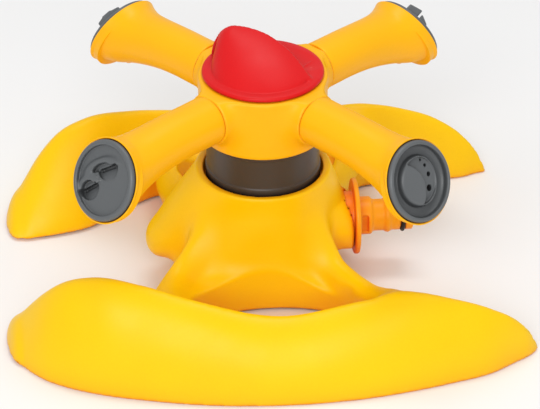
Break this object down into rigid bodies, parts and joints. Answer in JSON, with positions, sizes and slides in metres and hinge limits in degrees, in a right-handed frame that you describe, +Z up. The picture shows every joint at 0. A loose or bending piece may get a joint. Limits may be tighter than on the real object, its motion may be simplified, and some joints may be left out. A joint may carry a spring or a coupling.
{
  "type": "rotary garden sprinkler",
  "caption": "Rotary lawn sprinkler: a sled base with two leaf-shaped wings carries a spinning hub with flared nozzle arms and a red selector dial on top.",
  "frame": {"origin": "on the ground under the rotor's axis", "axes": "+Z up along the rotor's axis, +X towards the hose inlet, +Y towards the back wing"},
  "size_m": [0.251, 0.23, 0.1303],
  "materials": {
    "base_yellow": "satin moulded plastic, golden yellow",
    "rotor_yellow": "satin moulded plastic, slightly deeper yellow",
    "inlet_orange": "satin moulded plastic, orange yellow",
    "knob_red": "satin moulded plastic, signal red",
    "nozzle_grey": "matte moulded plastic, mid grey",
    "collar_brown": "satin moulded plastic, dark brown grey",
    "inner_grey": "plain moulded plastic",
    "inner_white": "natural acetal",
    "black_rubber": "black nitrile rubber",
    "steel": "stainless steel"
  },
  "bodies": {
    "root": {"base_shell": "base_yellow", "bearing_collar": "collar_brown", "water_elbow": "inner_grey", "spindle": "inner_white", "rotor_retainer": "steel", "thrust_washer": "inner_white", "hose_inlet": "inlet_orange", "inlet_o_ring": "black_rubber", "elbow_seal": "black_rubber", "inlet_filter": "steel", "collar_screw_1": "steel", "collar_screw_2": "steel", "collar_screw_3": "steel"},
    "rotor": {"rotor_hub": "rotor_yellow", "stem_o_ring": "black_rubber", "spindle_seal": "black_rubber", "arm_back_right": "rotor_yellow", "arm_back_left": "rotor_yellow", "arm_front_left": "rotor_yellow", "arm_front_right": "rotor_yellow", "nozzle_seal_back_right": "black_rubber", "nozzle_seal_back_left": "black_rubber", "nozzle_seal_front_left": "black_rubber", "nozzle_seal_front_right": "black_rubber"},
    "selector": {"selector_knob": "knob_red", "selector_stem": "inner_white", "selector_valve": "inner_grey"},
    "nozzle_back_right": {"nozzle_cap_back_right": "nozzle_grey"},
    "nozzle_back_left": {"nozzle_cap_back_left": "nozzle_grey"},
    "nozzle_front_left": {"nozzle_cap_front_left": "nozzle_grey"},
    "nozzle_front_right": {"nozzle_cap_front_right": "nozzle_grey"}
  },
  "joints": [
    {"name": "rotor_spin", "type": "hinge", "parent": "root", "child": "rotor", "pos_m": [0, 0, 0.08], "axis": [0, 0, 1], "continuous": true},
    {"name": "selector_turn", "type": "hinge", "parent": "rotor", "child": "selector", "pos_m": [0, 0, 0.112], "axis": [0, 0, 1], "continuous": true},
    {"name": "nozzle_back_right_turn", "type": "hinge", "parent": "rotor", "child": "nozzle_back_right", "pos_m": [0.0774, 0.06426, 0.095], "axis": [0.6973, 0.5789, 0.4226], "range_deg": [-45, 45]},
    {"name": "nozzle_back_left_turn", "type": "hinge", "parent": "rotor", "child": "nozzle_back_left", "pos_m": [-0.06426, 0.0774, 0.095], "axis": [-0.5789, 0.6973, 0.4226], "range_deg": [-45, 45]},
    {"name": "nozzle_front_left_turn", "type": "hinge", "parent": "rotor", "child": "nozzle_front_left", "pos_m": [-0.0774, -0.06426, 0.095], "axis": [-0.6973, -0.5789, 0.4226], "range_deg": [-45, 45]},
    {"name": "nozzle_front_right_turn", "type": "hinge", "parent": "rotor", "child": "nozzle_front_right", "pos_m": [0.06426, -0.0774, 0.095], "axis": [0.5789, -0.6973, 0.4226], "range_deg": [-45, 45]}
  ]
}
